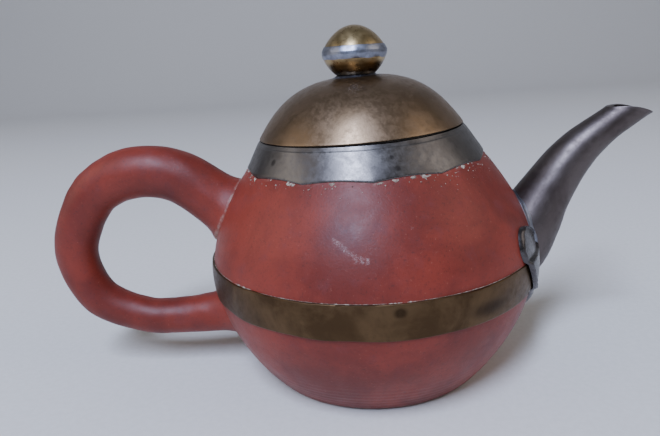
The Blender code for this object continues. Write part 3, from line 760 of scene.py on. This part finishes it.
# %% Belt
def make_belt_grid():
    """Flat section carried along the wall from one side of the spout round to the other."""
    turns = np.linspace(math.radians(15), math.radians(345), 700)
    wander = uneven(around(50 * MM, turns, 0.0), 16 * MM, 41) * 0.14 * MM
    low = BELT_BOTTOM + wander
    high = BELT_BOTTOM + BELT_WIDTH + np.roll(wander, 160)
    across = np.linspace(0.02, 0.98, 26)
    shares = np.concatenate(((0.0, 0.0), (0.004,), across, (0.996, 1.0, 1.0), across[::-4]))
    offsets = np.concatenate(((-0.1, 0.45), (0.56,), np.full(26, BELT_OUT / MM), (0.56, 0.45, -0.1),
                              np.full(len(across[::-4]), -0.1))) * MM
    heights = low[:, None] + (high - low)[:, None] * shares[None]
    grid = around(shell_radius(heights, offsets[None]), turns[:, None], heights)
    ripple = 0.05 * MM * uneven(grid, 15 * MM, 42) * (offsets > 0.4 * MM)[None]
    return grid + wall_normal(grid) * ripple[..., None], shares


belt_grid, belt_share = make_belt_grid()
belt_turns = np.arctan2(belt_grid[..., 1], belt_grid[..., 0])
# Painted highlight along both long edges.
painted_edge_highlight = np.exp(-np.minimum(belt_share, 1 - belt_share) / 0.012)[None] + 0 * belt_turns
# Real tarnish in two dark spots; painted highlights along the edges and in a broad patch on the
# front.
add_piece("belt_strip", belt_grid, "pot", belt_brass, ("brass_belt",),
          marks={"tarnish_and_shade": spots(belt_grid, ((1.3, -84.9, 37.5, 1.8, 1.5),
                                              (0.9, -55.0, 34.0, 9.0, 3.0))),
                 "wear_and_highlight": 1.4 * painted_edge_highlight + 0.5 * mark(belt_grid, -88.0, 36.0, 18.0, 4.5)})
belt_line = ring_on_wall(np.full_like(fine_turns, BELT_BOTTOM + BELT_WIDTH + 0.1 * MM),
                         fine_turns, 0.1 * MM)
belt_amount = (step_up(uneven(belt_line, 9 * MM, 43) + 0.7 * uneven(belt_line, 2.2 * MM, 44),
                       0.0, 1.2) * (0.35 + 0.65 * step_up(-np.cos(fine_turns), 0.0, 0.7)))
crust("cement_belt_edge", belt_line, (0.05 + 0.22 * belt_amount) * MM, 45)

# %% [markdown]
# ## The spout
# The clay spout was lost, and a pewter one took its place: a curved horn rolled from sheet,
# thin at the lip. Its mouth is cut along a shallow arch, so it is a long oval with a pointed
# tip. Each column of the tube stops where it meets that cut.

# %% Spout
SPOUT_LINE = (
    (-14.0, 27.0, 9.2), (-8.8, 31.2, 10.7), (-4.0, 36.8, 11.2), (1.0, 45.0, 9.9),
    (5.3, 52.8, 8.2), (10.5, 60.7, 7.1), (14.7, 65.7, 6.4), (18.7, 69.4, 5.7),
    (25.0, 74.3, 4.9), (35.4, 80.8, 4.3))
SPOUT_STEPS, SPOUT_COLUMNS = 24, 96
LIP_OUT, LIP_TOP = 27.5, 79.2          # mm out from the belly and up, of the arch's top


def lip_distance(points):
    """Height above the lip's arch: two parabolas that meet level, steeper to the tip."""
    out = np.maximum((points[..., 0] - BELLY_RADIUS) / MM - LIP_OUT, -10.0)
    fall = np.where(out < 0.0, 0.012, 0.028) * out ** 2
    return points[..., 2] - (LIP_TOP - fall) * MM


def spout_skin(grow, shares):
    """Columns of the spout from 1 mm inside the wall out to the lip."""
    grid, ways = tube(SPOUT_LINE, SPOUT_STEPS, SPOUT_COLUMNS, grow)
    start = crossing(wall_distance(grid), -1.0 * MM)
    end = crossing(lip_distance(grid), 0.0)
    return between(grid, start, end, shares), between(ways, start, end, shares)


out_shares = 1.0 - (1.0 - np.linspace(0.0, 1.0, 170)) ** 1.3
outer_skin, outer_ways = spout_skin(0.0, out_shares)
rolled = 0.12 * MM * np.exp(-((1.0 - out_shares) / 0.012) ** 2)
sway = 0.10 * MM * uneven(outer_skin, 17 * MM, 51) + 0.02 * MM * uneven(outer_skin, 6 * MM, 52)
sway *= step_up(out_shares, 0.05, 0.2)[:, None] * step_up(-out_shares, -0.98, -0.9)[:, None]
outer_skin = outer_skin + outer_ways * (sway + rolled[:, None])[..., None]
inner_skin, _ = spout_skin(-1.0 * MM, np.linspace(0.997, 0.0, 60))
spout_grid = np.concatenate((outer_skin, inner_skin))
# Painted highlight along the lip.
painted_lip_highlight = np.concatenate((np.exp(-((1 - out_shares) / 0.01) ** 2), np.zeros(60)))
root_dirt = np.concatenate((np.exp(-out_shares / 0.06), np.ones(60)))
add_piece("spout_horn", spout_grid, "pot", spout_pewter, ("spout",), ring=True,
          marks={"wear_and_highlight": painted_lip_highlight[:, None] + np.zeros(SPOUT_COLUMNS),
                 "tarnish_and_shade": 0.6 * root_dirt[:, None] + np.zeros(SPOUT_COLUMNS)})

# %% [markdown]
# A fillet of soft solder runs round the spout's foot. Its section is a small hollow-sided
# wedge; it is carried round the line where the horn meets the wall, with one side on the
# wall and the other up the horn.

# %% Solder fillet
def make_fillet():
    """Wedge section in (out along the wall, up from it), with lumps from the iron."""
    grid, ways = tube(SPOUT_LINE, SPOUT_STEPS, SPOUT_COLUMNS, -0.05 * MM)
    meet = crossing(wall_distance(grid), 0.25 * MM)
    line = between(grid, meet, meet, (0.0,))[0]
    out = wall_normal(line)
    away = between(ways, meet, meet, (0.0,))[0]
    along = away - out * np.einsum("ij,ij->i", away, out)[:, None]
    along /= np.linalg.norm(along, axis=1, keepdims=True)
    section = rounded([(-0.7, -0.6), (2.0, -0.5), (2.0, 0.1), (1.1, 0.35), (0.45, 0.8),
                       (0.15, 1.5), (-0.7, 1.7)], 0.3, 4) * MM
    lumps = 1.0 + 0.16 * uneven(line, 5 * MM, 55)
    grid = (line[:, None] + along[:, None] * (section[None, :, 0] * lumps[:, None])[..., None]
            + out[:, None] * (section[None, :, 1] * lumps[:, None])[..., None])
    return grid


add_piece("spout_solder", make_fillet(), "pot", grey_solder, ("spout_flange",),
          ring=True)

# %% [markdown]
# ## The plate under the spout
# A heart-shaped plate spreads its two lobes round the spout's foot and laps over the ends
# of the brass strip. It is beaten to the round of the wall and has a raised bead along its
# rim. Its grid shrinks the heart's outline to a point, and the wall gives each point's x.

# %% Plate
HEART = np.array([(0.0, 0.0), (0.42, 0.20), (0.78, 0.47), (0.96, 0.68), (1.0, 0.85),
                  (0.88, 0.98), (0.68, 0.96), (0.40, 0.82), (0.0, 0.67)])
HEART_WIDTH, HEART_TIP, HEART_HEIGHT = 29.5 * MM, 14.0 * MM, 36.0 * MM
PLATE_SHEET = 0.8 * MM


def make_plate():
    """Two faces of the heart, 0.8 mm apart, with a bead of exp(-distance^2) along the rim."""
    half = smooth_line(HEART, 16) * (HEART_WIDTH, HEART_HEIGHT) + (0.0, HEART_TIP)
    outline = np.vstack((half, half[-2:0:-1] * (-1.0, 1.0)))
    middle = np.array((0.0, HEART_TIP + 0.55 * HEART_HEIGHT))
    out = np.concatenate((np.linspace(0.03, 0.86, 40), np.linspace(0.875, 1.0, 24)))
    flat = middle + out[:, None, None] * (outline - middle)
    reach = np.linalg.norm(outline - middle, axis=1)
    bead = np.exp(-(((1.0 - out)[:, None] * reach - 0.55 * MM) / (0.5 * MM)) ** 2) * 0.40 * MM
    height = flat[..., 1]
    lap = 0.9 * MM * (step_up(height, BELT_BOTTOM - 1.2 * MM, BELT_BOTTOM)
                      * step_up(-height, -BELT_BOTTOM - BELT_WIDTH - 1.2 * MM,
                                -BELT_BOTTOM - BELT_WIDTH))
    knobs = 1.0 + 0.25 * uneven(np.dstack((flat, 0 * height)), 3.0 * MM, 61)
    faces = []
    for depth in (0.0, PLATE_SHEET):
        offset = 1.05 * MM + lap + (bead * knobs if depth == 0.0 else 0.0) - depth
        radius = shell_radius(height, offset)
        x = np.sqrt(np.clip(radius ** 2 - flat[..., 0] ** 2, 1e-8, None))
        faces.append(np.stack((x, flat[..., 0], height), axis=-1))
    edge = 0.5 * (faces[0][-1:] + faces[1][-1:]) * (1.0, 1.003, 1.0)
    return np.concatenate((faces[0], edge, faces[1][::-1])), out


plate_grid, plate_out = make_plate()
# Painted highlight along the raised bead of the rim.
rim = np.concatenate((step_up(plate_out, 0.9, 1.0), (1.0,), np.zeros(len(plate_out))))
add_piece("heart_plate", plate_grid, "pot", plate_metal, ("heart_escutcheon",),
          marks={"wear_and_highlight": 0.8 * rim[:, None] + np.zeros(plate_grid.shape[1])})

# %% [markdown]
# ## The lid
# The lid is a dome raised from brass sheet. A short tube inside it finds the mouth. The
# dome is a power curve, flatter on top than a ball, with soft hammer marks. Round the knob
# it is painted darker, with tarnish and painted shade under the knob; a band inside the rim
# is painted darker as a dark reflection, and the rim carries a painted highlight.

# %% Lid
def lid_surface(radius, depth=0.0):
    """Height over the rim: a cube-law bowl."""
    reach = LID_RADIUS - depth
    return (LID_HEIGHT - depth) * (1.0 - (radius / reach) ** 3)


def make_dome():
    """Outer skin from the stud hole to the rim, a rolled rim, and the inner skin back."""
    reach = LID_RADIUS - 0.25 * MM - STUD_HOLE
    out = STUD_HOLE + reach * np.linspace(0.0, 1.0, 90)
    outer = np.stack((out, lid_surface(out)), axis=-1)
    edge = LID_RADIUS - LID_SHEET
    back = edge - (edge - STUD_HOLE) * np.linspace(0.0, 1.0, 40)
    inner = np.stack((back, lid_surface(back, LID_SHEET)), axis=-1)
    rim = np.array([(LID_RADIUS - 0.14 * MM, 0.2 * MM), (LID_RADIUS - 0.13 * MM, 0.08 * MM),
                    (LID_RADIUS - 0.25 * MM, 0.0), (LID_RADIUS - 0.7 * MM, 0.0)])
    grid = turned(np.vstack((outer, rim, inner)), 300)
    soft = uneven(grid, 21 * MM, 71) * 0.10 * MM + uneven(grid, 7 * MM, 72) * 0.022 * MM
    from_axis = np.hypot(grid[..., 0], grid[..., 1])
    soft *= step_up(from_axis, 6 * MM, 10 * MM) * step_up(-from_axis, -LID_RADIUS, -28 * MM)
    grid[..., 2] += soft
    return grid, from_axis


dome_grid, dome_reach = make_dome()
# Tarnish and painted shade in a ring on the lid under the knob.
shade_and_tarnish_round_knob = np.exp(-((dome_reach - 5.5 * MM) / (3.2 * MM)) ** 2)
# Painted highlight along the rim.
painted_rim_highlight = np.exp(-((LID_RADIUS - dome_reach) / (0.5 * MM)) ** 2)
# Painted dark reflection in a band 2.5 mm inside the rim.
painted_dark_band = 0.21 * np.exp(-((LID_RADIUS - 2.5 * MM - dome_reach) / (1.4 * MM)) ** 2)
add_piece("brass_lid", moved(dome_grid, LID), "lid", lid_brass, ("lid_dome",),
          ring=True, marks={"tarnish_and_shade": 1.3 * shade_and_tarnish_round_knob + painted_dark_band, "wear_and_highlight": 1.2 * painted_rim_highlight})

TOP_OF_FLANGE = lid_surface(FLANGE_RADIUS, LID_SHEET) - 2 * AIR
WASHER_TOP = lid_surface(WASHER_RADIUS, LID_SHEET) - AIR
WASHER_LOW = WASHER_TOP - WASHER_SHEET
FOOT_LOW = LID_HEIGHT + AIR
FOOT_TOP = FOOT_LOW + FOOT_HEIGHT
SEAM = FOOT_TOP + AIR + KNOB_BOWL
BOWL_DEPTH = KNOB_BOWL + 0.75 * MM     # its floor sinks into the solder of the foot
KNOB = (LID @ Matrix.Translation((0.0, 0.0, FOOT_TOP)) @ Matrix.Rotation(
    math.radians(1.6), 4, "Y") @ Matrix.Translation((0.0, 0.0, -FOOT_TOP)))

FLANGE_INNER = FLANGE_RADIUS - FLANGE_SHEET
flange = rounded([(FLANGE_RADIUS, -FLANGE_DEPTH), (FLANGE_RADIUS, TOP_OF_FLANGE),
                  (FLANGE_INNER, TOP_OF_FLANGE), (FLANGE_INNER, -FLANGE_DEPTH)], 0.3 * MM)
add_piece("lid_tube", moved(turned(flange, 200), LID), "lid", lid_brass,
          ("lid_flange",), ring=True)
washer = rounded([(STUD_HOLE, WASHER_LOW), (WASHER_RADIUS, WASHER_LOW),
                  (WASHER_RADIUS, WASHER_TOP), (STUD_HOLE, WASHER_TOP)], 0.2 * MM)
add_piece("rivet_washer", moved(turned(washer, 96), LID), "lid", lid_brass,
          ("stud_washer",), ring=True)

# %% [markdown]
# ## The knob
# The knob is two small brass cups soldered lip to lip. The seam stands out as a sharp,
# bright edge, and the solder has run a little, so its lower line wanders. A rivet goes
# through the floor of the lower cup and the lid, and a smear of solder hides its foot.

# %% Knob
CUP_SHEET = 0.9 * MM
SEAM_HALF, SEAM_DEPTH, SEAM_PROUD = 1.8 * MM, 1.9 * MM, 0.12 * MM


def crown_radius(height):
    """Knob's radius over the seam: the root of one less the height's share to the 1.3."""
    return KNOB_RADIUS * np.sqrt(1.0 - (height / KNOB_CROWN) ** 1.3)


def bowl_radius(depth):
    """Knob's radius under the seam: the same kind of curve, cut off by the flat floor."""
    floor = 1.0 - (KNOB_FLOOR / KNOB_RADIUS) ** 2
    return KNOB_RADIUS * np.sqrt(1.0 - floor * (depth / BOWL_DEPTH) ** 1.6)


def make_crown_profile():
    """Upper cup: the outer curve up to the crown, and a smaller one back inside."""
    low = 1.9 * MM
    rise = (KNOB_CROWN - low) * np.sin(np.linspace(0.0, 0.985 * np.pi / 2, 48))
    outer = np.stack((crown_radius(low + rise), SEAM + low + rise), axis=-1)
    inner = np.stack((outer[::-2, 0] * 0.9, SEAM + low + rise[::-2] * 0.85), axis=-1)
    return np.vstack((outer, inner))


def make_bowl_profile():
    """Lower cup: from the hole in its flat floor out to the rim, and back inside."""
    depth = np.linspace(BOWL_DEPTH, 1.7 * MM, 30)
    low = SEAM - BOWL_DEPTH
    outer = np.stack((bowl_radius(depth), SEAM - depth), axis=-1)
    inner = outer[::-3] + (-CUP_SHEET, 0.0)
    inner[:, 1] = np.maximum(inner[:, 1], low + CUP_SHEET)
    return np.vstack(([(STUD_HOLE, low)], outer, inner, [(STUD_HOLE, low + CUP_SHEET)]))


def make_seam():
    """Ring that follows the knob's curves to a sharp middle edge; its lines wander."""
    above = np.linspace(0.0, SEAM_HALF, 8)[1:]
    below = above[::-1]
    inner = KNOB_RADIUS - SEAM_DEPTH
    radius = np.concatenate(([inner], bowl_radius(below) + SEAM_PROUD, [KNOB_RADIUS],
                             crown_radius(above) + SEAM_PROUD, [crown_radius(SEAM_HALF), inner]))
    height = np.concatenate(([-SEAM_HALF], -below, [0.0], above,
                             [SEAM_HALF + 0.15 * MM, SEAM_HALF]))
    grid = turned(np.stack((radius, height), axis=-1), 160)
    wander = uneven(grid * (1.0, 1.0, 0.0), 5.5 * MM, 81) * 0.26 * MM
    grid[1:5, :, 2] += wander[1:5] * np.array((1.0, 0.8, 0.5, 0.2))[:, None]
    lumps = uneven(grid, 4.0 * MM, 82) * 0.06 * MM * step_up(radius, inner, KNOB_RADIUS)[:, None]
    across = np.hypot(grid[..., 0], grid[..., 1])
    grid[..., :2] *= ((across + lumps) / across)[..., None]
    grid[..., 2] += SEAM
    return grid


crown_grid = turned(make_crown_profile(), 128)
bowl_grid = turned(make_bowl_profile(), 128)
add_piece("knob_upper_cup", moved(crown_grid, KNOB), "lid", knob_brass,
          ("knob_crown",), ring=True,
          marks={"wear_and_highlight": step_up(crown_grid[..., 2], SEAM + 3 * MM, SEAM + 6 * MM)})
# The lower cup is darker towards its bottom.
add_piece("knob_lower_cup", moved(bowl_grid, KNOB), "lid", knob_brass,
          ("knob_bowl",), ring=True,
          marks={"tarnish_and_shade": 1.2 * step_up(SEAM - bowl_grid[..., 2], 1.6 * MM, 4.5 * MM)})
add_piece("knob_seam_solder", moved(make_seam(), KNOB), "lid", grey_solder,
          ("knob_seam_ring",), ring=True)

foot = rounded([(STUD_HOLE, FOOT_LOW - 0.2 * MM), (6.9 * MM, FOOT_LOW - 0.55 * MM),
                (6.3 * MM, FOOT_LOW - 0.2 * MM), (5.9 * MM, FOOT_LOW + 0.1 * MM),
                (5.2 * MM, FOOT_LOW + 0.3 * MM), (STUD_HOLE, FOOT_LOW + 0.3 * MM)], 0.2 * MM)
foot_grid = turned(foot, 120)
foot_grid[..., :2] *= (1.0 + 0.035 * uneven(foot_grid, 3.5 * MM, 84) * step_up(
    np.hypot(foot_grid[..., 0], foot_grid[..., 1]), 3 * MM, 5 * MM))[..., None]
add_piece("knob_foot_solder", moved(foot_grid, LID), "lid", grey_solder,
          ("knob_foot",), ring=True)

PEEN_TOP = WASHER_LOW - AIR
HEAD = SEAM - KNOB_BOWL + 1.2 * MM
stud = rounded([(0.1 * MM, PEEN_TOP - 1.0 * MM), (PEEN, PEEN_TOP - 0.7 * MM), (PEEN, PEEN_TOP),
                (STUD_RADIUS, PEEN_TOP), (STUD_RADIUS, HEAD), (STUD_HEAD, HEAD),
                (STUD_HEAD, HEAD + 0.7 * MM), (0.1 * MM, HEAD + 1.2 * MM)], 0.25 * MM,
               closed=False)
add_piece("knob_rivet", moved(turned(stud, 96), LID), "lid", lid_brass,
          ("knob_stud",))

# %% [markdown]
# ## Floor and light
# A pale sweep of paper, flat under the pot and curved up behind it, hides the horizon. A
# window-like light stands in front, high and a little to the left, and gives the tall
# narrow shine on the metal. A wide weak light fills each side.

# %% Floor and lights
def make_sweep():
    """Sheet of paper: flat to 1.1 m behind the pot, then a quarter turn, then upright."""
    turn = np.linspace(0.0, np.pi / 2, 24)
    bend = 0.6
    back = np.concatenate(([-2.5], 1.1 + bend * np.sin(turn), [1.1 + bend]))
    rise = np.concatenate(([0.0], bend * (1 - np.cos(turn)), [3.0]))
    corners = [(x, y, z) for y, z in zip(back, rise) for x in (-3.0, 3.0)]
    faces = [(2 * i, 2 * i + 1, 2 * i + 3, 2 * i + 2) for i in range(len(back) - 1)]
    mesh = bpy.data.meshes.new("paper_sweep")
    mesh.from_pydata(corners, [], faces)
    mesh.shade_smooth()
    paper, tree, shader, place = start_finish("matt_paper", 0.0, 0.9)
    grain = ramp(tree, noise(tree, place, 2.0), 0.3, 0.7)
    tree.links.new(blend(tree, grain, "D9D6D2", "DEDBD7"), shader.inputs["Base Color"])
    mesh.materials.append(paper)
    sweep = bpy.data.objects.new("paper_sweep", mesh)
    sweep.location.z = cad_low.z - 0.05 * MM
    bpy.context.scene.collection.objects.link(sweep)


def add_light(name, place, size, power, tint):
    """Area light aimed at the middle of the pot."""
    data = bpy.data.lights.new(name, "AREA")
    data.shape = "RECTANGLE"
    data.size, data.size_y = size
    data.energy = power
    data.color = linear(tint)[:3]
    light = bpy.data.objects.new(name, data)
    light.location = place
    aim = Vector((0.0, 0.0, 0.05)) - Vector(place)
    light.rotation_euler = aim.to_track_quat("-Z", "Y").to_euler()
    bpy.context.scene.collection.objects.link(light)


make_sweep()
add_light("window", (-0.30, -0.85, 1.15), (0.22, 0.75), 32.0, "CCDCFF")
add_light("left_fill", (-1.3, -0.2, 0.7), (1.0, 1.0), 4.0, "FFF6EC")
add_light("right_fill", (1.3, -0.3, 0.9), (1.0, 1.0), 5.0, "FFF4EA")

world = bpy.data.worlds.new("studio")
bpy.context.scene.world = world
world.use_nodes = True
world.node_tree.nodes["Background"].inputs["Color"].default_value = linear("C9CDD2")
world.node_tree.nodes["Background"].inputs["Strength"].default_value = 0.30
